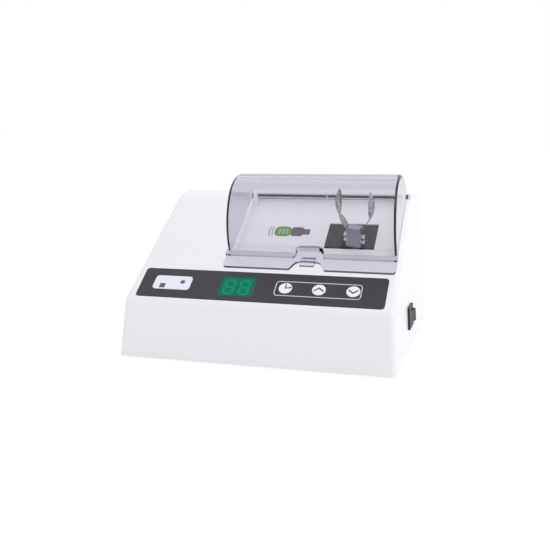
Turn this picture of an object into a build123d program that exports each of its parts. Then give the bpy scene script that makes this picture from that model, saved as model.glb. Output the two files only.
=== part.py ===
"""Dental amalgamator: a bench-top capsule mixer with a wedge-shaped moulded housing.

Millimetres, +Z up, front towards -Y. The origin is on the table, below the middle of
the whole object. Inside the script X is counted from the housing's middle, Y from its
front bottom edge and Z from its underside; the plane functions below carry that frame.
"""

import os
from math import cos, radians, sin, sqrt, tan

from build123d import *

# ---------------------------------------------------------------- driving dimensions
# housing
body_width = 272.5
body_depth = 260.0
body_height = 153.0
front_height = 55.4
front_lean = 9.0
deck_angle = 36.5
top_fall = 5.0
rear_lean = 2.0
side_draft = 3.4
housing_wall = 2.6
front_edge_radius = 9.0
deck_top_radius = 48.0
rear_edge_radius = 14.0
side_edge_radius = 5.0

# mixing chamber, sunk into the deck
chamber_front = 69.5
chamber_depth = 7.5
chamber_rear_gap = 0.8
trough_depth = 6.8
trough_length = 22.5
seal_width = 50.0
seal_length = 36.0
seal_thickness = 3.0
seal_sink = 1.0
seal_lip = 2.0
seal_frame = 3.0
seal_inset = 60.35
seal_mid_v = 106.6

# lid, given along the deck (v) and above it (h)
lid_right_inset = 9.35
lid_left_inset = 93.75
lid_draft = 1.3
lid_wall = 2.5
lid_front = 47.8
lid_edge_radius = 3.0
flange_thickness = 2.6
flange_overhang = 0.5
flange_corner = 3.0
flange_step = 2.4
flange_step_run = 4.6
crease = 66.6
brow_v = 97.0
brow_h = 49.0
brow_sagitta = 7.0
crown_h = 52.3
notch_width = 35.4
notch_top_width = 24.0
notch_depth = 10.4
notch_corner = 7.0
scoop_width = 31.0
scoop_top_width = 20.0
scoop_depth = 4.4
scoop_height = 4.4
tab_width = 13.8
tab_length = 11.8
tab_end = 50.9
tab_thickness = 1.8
hook_v = 64.0
hook_width = 12.0
hook_thickness = 1.5
hook_reach = 3.4

# lid hinge
hinge_back = 4.8
hinge_rise = 3.9
hinge_pin_radius = 1.5
hinge_pin_parting = 1.6
hinge_head_radius = 2.4
hinge_head = 1.0
ear_radius = 4.5
ear_thickness = 4.0

# control strip on the deck
overlay_inset = 13.5
overlay_height = 38.0
overlay_mid_v = 24.0
overlay_thickness = 0.8
overlay_proud = 0.2
overlay_corner = 3.5
stop_key_width = 39.0
stop_key_height = 17.6
stop_key_inset = 47.4
stop_key_corner = 3.4
round_key_radius = 6.45
last_key_inset = 44.35
key_pitch = 32.45
key_proud = 0.7
key_travel = 0.6
key_rim = 1.0
key_rim_thickness = 1.0
key_stem_radius = 2.2
window_width = 35.2
window_height = 24.6
window_u = -21.3
window_thickness = 1.8
window_corner = 1.0
window_ledge = 1.5
led_margin = 1.0

# control board
board_depth = 16.0
board_thickness = 1.6
board_boss_inset = 19.2
board_boss_v = 12.4
board_boss_radius = 3.0
board_edge = 4.0
board_screw_radius = 1.2
board_screw_head = 2.3
board_screw_head_height = 1.5
tact_size = 6.0
tact_height = 3.6
tact_button_radius = 1.7
tact_button_height = 0.7

# lid switch below the deck
lid_switch_length = 19.8
lid_switch_width = 6.4
lid_switch_height = 9.6
lid_switch_post = 2.6
plunger_radius = 0.9
plunger_length = 4.6
plunger_guide = 5.0

# power switch on the right side wall
switch_y = 110.0
switch_z = 31.5
bezel_length = 31.0
bezel_height = 22.6
bezel_corner = 2.0
bezel_proud = 2.0
bezel_lip = 1.7
switch_body_depth = 20.0
terminal_width = 4.8
terminal_thickness = 0.8
terminal_length = 7.0
terminal_pitch = 7.0
rocker_radius = 12.4
rocker_height = 12.6
rocker_swing = 20.0
rocker_bevel = 14.0
rocker_crown = 2.6
rocker_depth = 4.0
rocker_pocket = 8.0
rocker_axle_radius = 1.5
rocker_axle_reach = 1.5

# mains inlet in the rear wall
inlet_inset = 52.2
inlet_z = 32.0
inlet_flange_width = 48.0
inlet_flange_height = 23.0
inlet_flange_thickness = 2.4
inlet_corner = 3.0
inlet_body_width = 27.4
inlet_body_height = 19.6
inlet_depth = 19.0
inlet_wall = 1.6
inlet_pin_width = 4.0
inlet_pin_thickness = 2.0
inlet_pin_length = 13.0
inlet_pin_pitch = 7.0
inlet_earth_offset = 4.0
inlet_screw_pitch = 40.0
inlet_screw_radius = 1.5
inlet_screw_head = 2.8
inlet_screw_head_height = 1.5

# base
base_thickness = 3.0
foot_gap = 1.8
foot_radius = 8.0
foot_chamfer = 0.8
foot_inset_x = 26.0
foot_inset_y = 28.0
boss_radius = 4.6
boss_height = 36.0
boss_inset_y = 20.0
boss_bite = 0.6
base_screw_radius = 1.6
base_screw_head = 3.6
base_screw_head_height = 1.5
base_screw_length = 16.0
vent_length = 44.0
vent_width = 3.0
vent_pitch = 8.0
vent_count = 6

# drive: the arm leaves the chamber floor at (head_u, head_v)
head_inset = 55.25
head_v = 96.0
arm_lean = 20.0
wobble_angle = 3.0
fork_yaw = 10.2
pivot_drop = 54.0
head_width = 13.4
head_depth = 9.6
head_lift = -1.5
head_height = 20.0
spigot_length = 12.0
stem_radius = 4.0
ring_radius = 16.0
ring_width = 9.0
bearing_radius = 11.0
bearing_bore = 6.0
bearing_width = 7.0
shaft_radius = 4.0
hub_radius = 7.5
hub_collar = 7.0
hub_washer = 1.0
hub_screw_radius = 1.5
hub_screw_head = 2.8
hub_screw_head_height = 2.0
hub_screw_length = 10.0
tail_length = 33.0
tail_radius = 3.0
guide_length = 28.0
guide_width = 18.0
guide_slot = 16.0
guide_top = 34.0
guide_slot_depth = 13.0
motor_radius = 26.0
motor_length = 72.0
motor_bell = 9.0
motor_bell_step = 1.5
motor_gap = 27.0
motor_nose_radius = 11.0
motor_nose = 4.0
motor_screw_circle = 17.0
motor_screw_radius = 1.5
motor_screw_head = 2.8
motor_screw_head_height = 2.0
motor_screw_length = 8.0
fan_radius = 21.0
fan_hub_radius = 8.0
fan_width = 7.0
fan_blade = 1.2
fan_blades = 9
fan_gap = 1.6
shaft_tail = 1.0
bracket_thickness = 2.5
bracket_width = 64.0
bracket_top = 27.0
bracket_reach = 24.0
bracket_tail = 90.0
bracket_fold_radius = 3.0
damper_radius = 6.0
damper_height = 7.0
damper_inset = 9.0

# capsule jaws
strip_thickness = 0.9
strip_width = 9.0
strip_neck = 4.6
strip_taper = 5.0
strip_root = 16.0
waist_rise = 29.6
jaw_half_gap = 15.2
jaw_height = 28.0
jaw_bulge = 4.8
jaw_thickness = 0.8
jaw_tip = 2.0
jaw_screw_radius = 1.2
jaw_screw_head = 2.3
jaw_screw_head_height = 3.4
jaw_screw_low = 4.7
jaw_screw_pitch = 5.8
jaw_screw_bite = 2.4

# power board
power_board_x = -20.0
power_board_inset = 64.0
power_board_length = 130.0
power_board_width = 66.0
power_board_rise = 7.0
power_board_thickness = 1.6
power_post_radius = 3.5
power_post_inset = 6.0
transformer_length = 44.0
transformer_width = 36.0
transformer_height = 32.0
transformer_x = -30.0
core_length = 30.0
coil_width = 30.0
coil_height = 26.6
relay_length = 28.0
relay_width = 12.6
relay_height = 15.0
relay_x = 16.0
fuse_radius = 2.6
fuse_length = 20.0
fuse_x = 40.0
fuse_clip = 5.0
fuse_clip_wall = 0.8

# clearances
seat_gap = 0.3
slip_gap = 0.25
running_gap = 0.06
pin_gap = 0.02
swing_gap = 0.8

# ---------------------------------------------------------------- derived sizes
sin_deck = sin(radians(deck_angle))
cos_deck = cos(radians(deck_angle))
tan_deck = tan(radians(deck_angle))
tan_draft = tan(radians(side_draft))
tan_rear = tan(radians(rear_lean))
tan_fall = tan(radians(top_fall))
half_width = body_width / 2
deck_foot_y = front_height * tan(radians(front_lean))
hinge_level = body_height - trough_depth
deck_top_y = deck_foot_y + (hinge_level - front_height) / tan_deck
deck_length = (hinge_level - front_height) / sin_deck
trough_rear_y = deck_top_y + trough_length
overlay_width = body_width - 2 * overlay_inset
stop_key_u = stop_key_inset - half_width
key_centres = [half_width - last_key_inset - i * key_pitch for i in (2, 1, 0)]
board_boss_u = half_width - board_boss_inset
inlet_x = inlet_inset - half_width
power_board_y = body_depth - power_board_inset
seal_mid_u = half_width - seal_inset
head_u = half_width - head_inset
crown_v = (brow_v + deck_length) / 2


def side_x(z):
    """Half the housing's width at height z."""
    return half_width - z * tan_draft


def rear_y(z):
    """Y of the rear wall's outside at height z."""
    return body_depth - z * tan_rear


# where the straight lines of deck, top and rear wall would meet without their rounded edges
peak_bisector = cos(radians(deck_angle - top_fall) / 2) / cos(radians(deck_angle + top_fall) / 2)
peak_z = body_height + deck_top_radius * (peak_bisector - 1)
peak_y = deck_foot_y + (peak_z - front_height) / tan_deck
rear_top_z = (peak_z - (body_depth - peak_y) * tan_fall) / (1 - tan_rear * tan_fall)
rocker_proud = rocker_radius * sin(radians(rocker_swing / 2 + rocker_bevel))
mid_x = -(side_x(switch_z) + rocker_proud - half_width) / 2
front_y = -(rear_y(inlet_z) + inlet_flange_thickness + inlet_screw_head_height) / 2


def level(z):
    """Horizontal plane at height z; local x and y are the housing's X and Y."""
    return Plane(origin=(mid_x, front_y, foot_gap + z))


def upright(x):
    """Plane across the housing at x, seen from the right; local x and y are Y and Z."""
    return Plane(origin=(mid_x + x, front_y, foot_gap), x_dir=(0, 1, 0), z_dir=(1, 0, 0))


def facing(y):
    """Plane parallel to the front at y; local x and y are X and Z."""
    return Plane(origin=(mid_x, front_y + y, foot_gap), x_dir=(1, 0, 0), z_dir=(0, -1, 0))


def deck(h):
    """Plane parallel to the deck, h above it; local x is X and local y runs up the slope."""
    y = front_y + deck_foot_y - h * sin_deck
    z = foot_gap + front_height + h * cos_deck
    return Plane(origin=(mid_x, y, z), x_dir=(1, 0, 0), z_dir=(0, -sin_deck, cos_deck))


def slope(v, h):
    """Point of an upright plane that lies v up the deck and h above it."""
    y = deck_foot_y + v * cos_deck - h * sin_deck
    z = front_height + v * sin_deck + h * cos_deck
    return (y, z)


def floor_z(y):
    """Height of the chamber's floor at y."""
    return front_height + (y - deck_foot_y) * tan_deck - chamber_depth / cos_deck


hinge_y = deck_top_y + hinge_back
hinge_z = hinge_level + hinge_rise
lobe_radius = hinge_rise - seat_gap
knee_v = (hinge_level - front_height + seat_gap * (1 - cos_deck)) / sin_deck
lid_base_z = slope(crease, 0)[1]
lid_lean = tan(radians(lid_draft))
lid_width = body_width - lid_left_inset - lid_right_inset
lid_mid = (lid_left_inset - lid_right_inset) / 2
lid_half = lid_width / 2
lid_half_at_hinge = lid_half - (hinge_z - lid_base_z) * lid_lean
chamber_half = lid_half_at_hinge - lid_wall - seat_gap
trough_left = lid_mid - lid_half_at_hinge - hinge_head - seat_gap - slip_gap
chamber_rear_y = hinge_y + lobe_radius + chamber_rear_gap
flange_top = seat_gap + flange_thickness
lid_switch_v = chamber_front - housing_wall - seat_gap - lid_switch_width / 2
lid_switch_top = -housing_wall - lid_switch_post
plunger_top = seat_gap - hook_reach - slip_gap
rim_top = -housing_wall - slip_gap
rim_bottom = rim_top - key_rim_thickness
board_top = board_thickness - board_depth
tact_top = board_top + tact_height + tact_button_height
stem_end = tact_top + key_travel + slip_gap
board_bosses = [(u, overlay_mid_v + v) for u in (-board_boss_u, board_boss_u)
                for v in (-board_boss_v, board_boss_v)]
boss_x = half_width - housing_wall - boss_radius + boss_bite
boss_places = [(x, y) for x in (-boss_x, boss_x) for y in (boss_inset_y, body_depth - boss_inset_y)]
foot_places = [(x, y) for x in (foot_inset_x - half_width, half_width - foot_inset_x)
               for y in (foot_inset_y, body_depth - foot_inset_y)]

# the arm's directions at rest: it leans to the front, and the wobbling hub tips it right
lean = radians(arm_lean)
tip = radians(wobble_angle)
yaw = radians(fork_yaw)
across = Vector(1, 0, 0)
neutral = Vector(0, -sin(lean), cos(lean))
toward = Vector(0, -cos(lean), -sin(lean))
arm_up = neutral * cos(tip) + across * sin(tip)
arm_across = across * cos(tip) - neutral * sin(tip)
fork_across = arm_across * cos(yaw) + toward * sin(yaw)
fork_toward = toward * cos(yaw) - arm_across * sin(yaw)
exit_y, exit_z = slope(head_v, -chamber_depth)
arm_exit = Vector(mid_x + head_u, front_y + exit_y, foot_gap + exit_z)
pivot = arm_exit - arm_up * pivot_drop
pivot_x = pivot.X - mid_x
pivot_y = pivot.Y - front_y
pivot_z = pivot.Z - foot_gap
ring_bore = bearing_radius + bearing_width / 2 * sin(2 * tip) + seat_gap
arm_plane = Plane(origin=pivot, x_dir=arm_across, z_dir=toward)
ring_plane = Plane(origin=pivot, x_dir=toward, z_dir=arm_across)
fork_plane = Plane(origin=arm_exit, x_dir=fork_across, z_dir=fork_toward)
guide_plane = Plane(origin=pivot, x_dir=across, z_dir=toward)
bracket_z = base_thickness + damper_height
bracket_floor = bracket_z + bracket_thickness
pivot_v = (pivot_y - deck_foot_y) * cos_deck + (pivot_z - front_height) * sin_deck
pivot_h = (pivot_z - front_height) * cos_deck - (pivot_y - deck_foot_y) * sin_deck
crossing = radians(deck_angle - arm_lean)


def crossing_v(h):
    """Where the upright arm meets the plane h above the deck."""
    return pivot_v + (h - pivot_h) * tan(crossing)


# room for the swinging head in the seal, and for the stem in the frame below it
seal_slot_v = crossing_v(-chamber_depth - seal_sink - seal_thickness / 2)
seal_slot_half_u = (
    (head_width / 2 + strip_thickness) * cos(yaw)
    + head_depth / 2 * sin(yaw)
    + pivot_drop * sin(tip)
    + swing_gap
)
seal_slot_half_v = (
    (head_depth / 2 * cos(yaw) + (head_width / 2 + strip_thickness) * sin(yaw)) / cos(crossing)
    + seal_thickness / 2 * tan(crossing)
    + swing_gap
)
frame_slot_v = crossing_v(-chamber_depth - seal_sink - seal_thickness - seal_lip / 2)
frame_slot_u = stem_radius + pivot_drop * sin(tip) + swing_gap
frame_slot_half = stem_radius / cos(crossing) + seal_lip / 2 * tan(crossing) + swing_gap


def shaft_plane(x):
    """Plane square to the motor shaft, x to the right of the arm's pivot."""
    return Plane(origin=pivot + across * x, x_dir=(0, 1, 0), z_dir=(1, 0, 0))


side_wall = Plane(
    origin=(mid_x + side_x(switch_z), front_y + switch_y, foot_gap + switch_z),
    x_dir=(0, 1, 0),
    z_dir=(cos(radians(side_draft)), 0, sin(radians(side_draft))),
)
rear_wall = Plane(
    origin=(mid_x + inlet_x, front_y + rear_y(inlet_z), foot_gap + inlet_z),
    x_dir=(-1, 0, 0),
    z_dir=(0, cos(radians(rear_lean)), sin(radians(rear_lean))),
)


# ---------------------------------------------------------------- housing forms
def wedge(inset, drop):
    """The housing's outer form, drawn in by inset and let down by drop below its underside."""
    with BuildPart() as form:
        with BuildSketch(upright(0)):
            with BuildLine():
                Polyline(
                    (-drop * tan(radians(front_lean)), -drop),
                    (deck_foot_y, front_height),
                    (peak_y, peak_z),
                    (rear_y(rear_top_z), rear_top_z),
                    (rear_y(-drop), -drop),
                    close=True,
                )
            make_face()
            if inset:
                offset(amount=-inset, kind=Kind.INTERSECTION)
        extrude(amount=body_width, both=True)
        with BuildSketch(facing(-body_depth)):
            with BuildLine():
                Polyline(
                    (-side_x(-drop), -drop),
                    (side_x(-drop), -drop),
                    (side_x(2 * body_height), 2 * body_height),
                    (-side_x(2 * body_height), 2 * body_height),
                    close=True,
                )
            make_face()
            if inset:
                offset(amount=-inset, kind=Kind.INTERSECTION)
        extrude(amount=-3 * body_depth, mode=Mode.INTERSECT)
        cross = form.edges().filter_by(Axis.X).sort_by(Axis.Z)[2:].sort_by(Axis.Y)
        radii = (front_edge_radius, deck_top_radius, rear_edge_radius)
        for edge, radius in zip(cross, radii):
            fillet(edge, radius=radius - inset)
        underside = foot_gap - drop + inset
        cheeks = form.faces().filter_by(lambda face: abs(face.normal_at().X) > 0.9)
        rim = cheeks.edges().filter_by(lambda edge: edge.center().Z > underside + housing_wall)
        fillet(rim, radius=side_edge_radius - inset)
    return form.part


def chamber_line():
    """Outline of the chamber across the housing, open above the deck."""
    with BuildLine() as outline:
        Polyline(
            slope(chamber_front, chamber_depth),
            slope(chamber_front, -chamber_depth),
            (chamber_rear_y, floor_z(chamber_rear_y)),
            (chamber_rear_y, body_height + chamber_depth),
            close=True,
        )
    return outline.line


def trough_form(inset, top):
    """Block that clears the lid's back behind its hinge, grown by inset and open to the right."""
    with BuildPart() as form:
        with BuildSketch(upright(trough_left - inset)):
            with BuildLine():
                Polyline(
                    (deck_top_y, hinge_level - inset),
                    (trough_rear_y + inset, hinge_level - inset),
                    (trough_rear_y + inset, top),
                    (deck_top_y, top),
                    close=True,
                )
            make_face()
        extrude(amount=body_width)
    return form.part


def stop_outline(gap, mode=Mode.ADD):
    """The stop key's outline, gap wider all round."""
    with Locations((stop_key_u, overlay_mid_v)):
        RectangleRounded(
            stop_key_width + 2 * gap, stop_key_height + 2 * gap, stop_key_corner + gap, mode=mode
        )


def round_outlines(gap, mode=Mode.ADD):
    """The three round keys' outlines, gap wider all round."""
    with Locations(*[(u, overlay_mid_v) for u in key_centres]):
        Circle(round_key_radius + gap, mode=mode)


def window_outline(gap, mode=Mode.ADD):
    """The display window's outline, gap wider all round."""
    with Locations((window_u, overlay_mid_v)):
        RectangleRounded(window_width + 2 * gap, window_height + 2 * gap, window_corner + gap, mode=mode)


outer_form = wedge(0, 0)
inner_form = wedge(housing_wall, 3 * housing_wall)
base_form = wedge(housing_wall + slip_gap, 3 * housing_wall)
chamber_outline = chamber_line()

# floor and walls of the chamber, the frame below its window, the screw bosses
with BuildPart() as basin:
    with BuildSketch(upright(lid_mid)):
        make_face(chamber_outline)
        offset(amount=housing_wall, kind=Kind.INTERSECTION)
    extrude(amount=chamber_half + housing_wall, both=True)
    with BuildSketch(deck(-chamber_depth)):
        with Locations((seal_mid_u, seal_mid_v)):
            Rectangle(seal_width + 2 * seal_frame, seal_length + 2 * seal_frame)
    extrude(amount=-(seal_sink + seal_thickness + seal_lip))
    add(trough_form(housing_wall, peak_z))
    with BuildSketch(level(base_thickness)):
        with Locations(*boss_places):
            Circle(boss_radius)
    extrude(amount=boss_height - base_thickness)
    with BuildSketch(deck(-housing_wall / 2)):
        with Locations(*board_bosses):
            Circle(board_boss_radius)
    extrude(amount=board_top + housing_wall / 2)
    with BuildSketch(deck(-housing_wall / 2)):
        with Locations((lid_mid, lid_switch_v)):
            with GridLocations(lid_switch_length - lid_switch_post, 0, 2, 1):
                Rectangle(lid_switch_post, lid_switch_post)
    extrude(amount=-(housing_wall / 2 + lid_switch_post))
    add(outer_form, mode=Mode.INTERSECT)

# ---------------------------------------------------------------- upper housing
with BuildPart() as upper_housing:
    add(outer_form)
    add(inner_form, mode=Mode.SUBTRACT)
    add(basin.part)
    with BuildSketch(upright(lid_mid)):
        make_face(chamber_outline)
    extrude(amount=chamber_half, both=True, mode=Mode.SUBTRACT)
    add(trough_form(0, 2 * peak_z), mode=Mode.SUBTRACT)
    with BuildSketch(deck(-chamber_depth)):
        with Locations((seal_mid_u, seal_mid_v)):
            Rectangle(seal_width + 2 * slip_gap, seal_length + 2 * slip_gap)
    extrude(amount=-(seal_sink + seal_thickness), mode=Mode.SUBTRACT)
    with BuildSketch(deck(-chamber_depth)):
        with Locations((seal_mid_u, seal_mid_v)):
            Rectangle(seal_width - 2 * seal_lip, seal_length - 2 * seal_lip)
        with Locations((pivot_x, frame_slot_v)):
            Rectangle(2 * frame_slot_u, 2 * frame_slot_half)
    extrude(amount=-2 * chamber_depth, mode=Mode.SUBTRACT)
    for side in (-1, 1):
        ear_x = lid_mid + side * chamber_half
        with BuildSketch(upright(ear_x)):
            with BuildLine():
                Polyline(
                    (hinge_y - ear_radius, hinge_z),
                    (hinge_y - ear_radius, floor_z(hinge_y - ear_radius) - housing_wall / 2),
                    (hinge_y + ear_radius, floor_z(hinge_y + ear_radius) - housing_wall / 2),
                    (hinge_y + ear_radius, hinge_z),
                    close=True,
                )
            make_face()
            with Locations((hinge_y, hinge_z)):
                Circle(ear_radius)
        extrude(amount=-side * ear_thickness)
        with BuildSketch(upright(ear_x)):
            with Locations((hinge_y, hinge_z)):
                Circle(hinge_pin_radius + pin_gap)
        extrude(amount=-side * 2 * ear_thickness, mode=Mode.SUBTRACT)
    # pocket of the control strip, and the openings for the keys and the window
    with BuildSketch(deck(0)):
        with Locations((0, overlay_mid_v)):
            RectangleRounded(
                overlay_width + 2 * slip_gap, overlay_height + 2 * slip_gap, overlay_corner + slip_gap
            )
    extrude(amount=overlay_proud - overlay_thickness, mode=Mode.SUBTRACT)
    with BuildSketch(deck(0)):
        stop_outline(slip_gap)
        round_outlines(slip_gap)
        with Locations((window_u, overlay_mid_v)):
            Rectangle(window_width - 2 * window_ledge, window_height - 2 * window_ledge)
        with Locations((lid_mid, hook_v)):
            Rectangle(hook_width + 4 * slip_gap, hook_thickness + 4 * slip_gap)
    extrude(amount=-(housing_wall + slip_gap), mode=Mode.SUBTRACT)
    with BuildSketch(deck(0)):
        window_outline(slip_gap)
    extrude(amount=overlay_proud - window_thickness, mode=Mode.SUBTRACT)
    with BuildSketch(side_wall):
        RectangleRounded(
            bezel_length - 2 * bezel_lip + 2 * slip_gap,
            bezel_height - 2 * bezel_lip + 2 * slip_gap,
            bezel_corner / 2,
        )
    extrude(amount=-2 * housing_wall, mode=Mode.SUBTRACT)
    with BuildSketch(rear_wall):
        Rectangle(inlet_body_width + 2 * slip_gap, inlet_body_height + 2 * slip_gap)
        with GridLocations(inlet_screw_pitch, 0, 2, 1):
            Circle(inlet_screw_radius + pin_gap)
    extrude(amount=-2 * housing_wall, mode=Mode.SUBTRACT)
    with BuildSketch(level(base_thickness)):
        with Locations(*boss_places):
            Circle(base_screw_radius + pin_gap)
    extrude(amount=base_screw_length, mode=Mode.SUBTRACT)
    with BuildSketch(deck(board_top)):
        with Locations(*board_bosses):
            Circle(board_screw_radius + pin_gap)
    extrude(amount=board_depth - board_thickness - housing_wall, mode=Mode.SUBTRACT)

# ---------------------------------------------------------------- base, feet and screws
with BuildPart() as base_plate:
    with BuildSketch(level(0)):
        with Locations((0, body_depth / 2)):
            Rectangle(2 * body_width, 2 * body_depth)
    extrude(amount=base_thickness)
    add(base_form, mode=Mode.INTERSECT)
    with BuildSketch(level(base_thickness)):
        with Locations((power_board_x, power_board_y)):
            with GridLocations(
                power_board_length - 2 * power_post_inset, power_board_width - 2 * power_post_inset, 2, 2
            ):
                Circle(power_post_radius)
    extrude(amount=power_board_rise - base_thickness)
    with Locations(level(0)):
        with Locations(*[Location((x, y, 0), (180, 0, 0)) for x, y in boss_places]):
            CounterBoreHole(
                radius=base_screw_radius + slip_gap,
                counter_bore_radius=base_screw_head + slip_gap,
                counter_bore_depth=base_screw_head_height + slip_gap,
                depth=base_thickness,
            )
    with BuildSketch(level(0)):
        with Locations((pivot_x - motor_gap - motor_length / 2, pivot_y)):
            with GridLocations(0, vent_pitch, 1, vent_count):
                SlotOverall(vent_length, vent_width)
    extrude(amount=base_thickness, mode=Mode.SUBTRACT)

with BuildPart() as rubber_feet:
    with BuildSketch(level(-foot_gap)):
        with Locations(*foot_places):
            Circle(foot_radius)
    extrude(amount=foot_gap)
    chamfer(rubber_feet.edges().group_by(Axis.Z)[0], length=foot_chamfer)

with BuildPart() as base_screws:
    with BuildSketch(level(slip_gap)):
        with Locations(*boss_places):
            Circle(base_screw_head)
    extrude(amount=base_screw_head_height)
    with BuildSketch(level(slip_gap)):
        with Locations(*boss_places):
            Circle(base_screw_radius)
    extrude(amount=base_screw_length)

# ---------------------------------------------------------------- chamber seal
with BuildPart() as seal_plate:
    with BuildSketch(deck(-chamber_depth - seal_sink)):
        with Locations((seal_mid_u, seal_mid_v)):
            Rectangle(seal_width, seal_length)
        with Locations((pivot_x, seal_slot_v)):
            Rectangle(2 * seal_slot_half_u, 2 * seal_slot_half_v, mode=Mode.SUBTRACT)
    extrude(amount=-seal_thickness)


# ---------------------------------------------------------------- lid
def hood_line(drop):
    """Outline of the hood across the housing, let down by drop below the deck."""
    hinge_line = hinge_level + seat_gap - drop
    with BuildLine() as outline:
        front = SagittaArc(slope(crease, seat_gap), slope(brow_v, brow_h), brow_sagitta)
        crown = TangentArc(front @ 1, slope(crown_v, crown_h), tangent=front % 1)
        TangentArc(crown @ 1, (hinge_y + lobe_radius, hinge_z), tangent=crown % 1)
        if drop:
            Polyline(
                (hinge_y + lobe_radius, hinge_z),
                (hinge_y + lobe_radius, hinge_line),
                (deck_top_y, hinge_line),
                slope(crease, seat_gap - drop),
                slope(crease, seat_gap),
            )
        else:
            RadiusArc((hinge_y + lobe_radius, hinge_z), (hinge_y, hinge_line), lobe_radius)
            Polyline((hinge_y, hinge_line), slope(knee_v, seat_gap), slope(crease, seat_gap))
    return outline.line


def hood_form(inset):
    """The hood's outer form, drawn in by inset and open below when it is."""
    drop = 2 * inset
    half = lid_half - inset
    with BuildPart() as form:
        with BuildSketch(upright(lid_mid)):
            make_face(hood_line(drop))
            if inset:
                offset(amount=-inset, kind=Kind.INTERSECTION)
        extrude(amount=body_width, both=True)
        with BuildSketch(facing(-body_depth)):
            with BuildLine():
                Polyline(
                    (lid_mid - half - lid_base_z * lid_lean, 0),
                    (lid_mid + half + lid_base_z * lid_lean, 0),
                    (lid_mid + half - lid_base_z * lid_lean, 2 * lid_base_z),
                    (lid_mid - half + lid_base_z * lid_lean, 2 * lid_base_z),
                    close=True,
                )
            make_face()
        extrude(amount=-3 * body_depth, mode=Mode.INTERSECT)
        cheeks = form.faces().filter_by(lambda face: abs(face.normal_at().X) > 0.9)
        brows = cheeks.edges().filter_by(GeomType.LINE, reverse=True)
        if not inset:
            fillet(brows.filter_by(lambda edge: edge.length > 3 * lobe_radius), radius=lid_edge_radius)
    return form.part


def narrowing(front_v, rear_v, front_width, rear_width, corner):
    """Face on the deck about the lid's middle that narrows up the slope."""
    with BuildSketch() as outline:
        with BuildLine():
            Polyline(
                (lid_mid - front_width / 2, front_v),
                (lid_mid + front_width / 2, front_v),
                (lid_mid + rear_width / 2, rear_v),
                (lid_mid - rear_width / 2, rear_v),
                close=True,
            )
        make_face()
        fillet(outline.vertices().sort_by(Axis.Y)[2:], radius=corner)
    return outline.sketch


hood_cavity = hood_form(lid_wall)
with BuildPart() as lid_room:
    add(hood_cavity)
    with BuildSketch(deck(0)):
        add(
            narrowing(
                crease - flange_step_run,
                crease + scoop_depth + lid_wall,
                scoop_width + 2 * lid_wall,
                scoop_top_width + 2 * lid_wall,
                notch_corner + lid_wall,
            )
        )
    extrude(amount=flange_top + scoop_height + lid_wall, mode=Mode.SUBTRACT)

with BuildPart() as lid_hood:
    add(hood_form(0))
    add(lid_room.part, mode=Mode.SUBTRACT)
    with BuildSketch(deck(seat_gap)) as flange:
        with Locations((lid_mid, (lid_front + crease + lid_wall) / 2)):
            Rectangle(lid_width + 2 * flange_overhang, crease + lid_wall - lid_front)
        fillet(flange.vertices().sort_by(Axis.Y)[:2], radius=flange_corner)
    extrude(amount=flange_thickness)
    with BuildSketch(deck(seat_gap)):
        with Locations((lid_mid, crease - flange_step_run / 2 + lid_wall / 2)):
            Rectangle(lid_width + 2 * flange_overhang, flange_step_run + lid_wall)
    extrude(amount=flange_thickness + flange_step)
    with BuildSketch(deck(0)):
        add(
            narrowing(
                lid_front - flange_overhang, lid_front + notch_depth, notch_width, notch_top_width, notch_corner
            )
        )
    extrude(amount=flange_top + seat_gap, mode=Mode.SUBTRACT)
    with BuildSketch(deck(flange_top)):
        add(
            narrowing(
                crease - flange_step_run - seat_gap,
                crease + scoop_depth,
                scoop_width,
                scoop_top_width,
                notch_corner,
            )
        )
    extrude(amount=scoop_height, mode=Mode.SUBTRACT)
    with BuildSketch(deck(flange_top)):
        with Locations((lid_mid, tab_end + tab_length / 2)):
            Rectangle(tab_width, tab_length)
    extrude(amount=tab_thickness)
    with BuildSketch(deck(flange_top)):
        with Locations((lid_mid, hook_v)):
            Rectangle(hook_width, hook_thickness)
    extrude(amount=seat_gap - hook_reach - flange_top)
    for side in (-1, 1):
        with BuildSketch(upright(lid_mid + side * (chamber_half + seat_gap))):
            with Locations((hinge_y, hinge_z)):
                Circle(ear_radius + swing_gap)
        extrude(amount=-side * (ear_thickness + seat_gap + swing_gap), mode=Mode.SUBTRACT)
    with BuildSketch(upright(lid_mid)):
        with Locations((hinge_y, hinge_z)):
            Circle(hinge_pin_radius + running_gap)
    extrude(amount=lid_width, both=True, mode=Mode.SUBTRACT)

with BuildPart() as hinge_pins:
    for side in (-1, 1):
        with BuildSketch(upright(lid_mid + side * hinge_pin_parting / 2)):
            with Locations((hinge_y, hinge_z)):
                Circle(hinge_pin_radius)
        extrude(amount=side * (lid_half_at_hinge + slip_gap + hinge_head - hinge_pin_parting / 2))
        with BuildSketch(upright(lid_mid + side * (lid_half_at_hinge + slip_gap))):
            with Locations((hinge_y, hinge_z)):
                Circle(hinge_head_radius)
        extrude(amount=side * hinge_head)

# ---------------------------------------------------------------- lid switch below the deck
with BuildPart() as interlock_switch:
    with BuildSketch(deck(lid_switch_top)):
        with Locations((lid_mid, lid_switch_v)):
            Rectangle(lid_switch_length, lid_switch_width)
    extrude(amount=-lid_switch_height)
    with BuildSketch(deck(lid_switch_top)):
        with Locations((lid_mid, hook_v)):
            Circle(plunger_radius + running_gap)
    extrude(amount=-plunger_guide, mode=Mode.SUBTRACT)

with BuildPart() as interlock_plunger:
    with BuildSketch(deck(plunger_top)):
        with Locations((lid_mid, hook_v)):
            Circle(plunger_radius)
    extrude(amount=-plunger_length)

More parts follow.
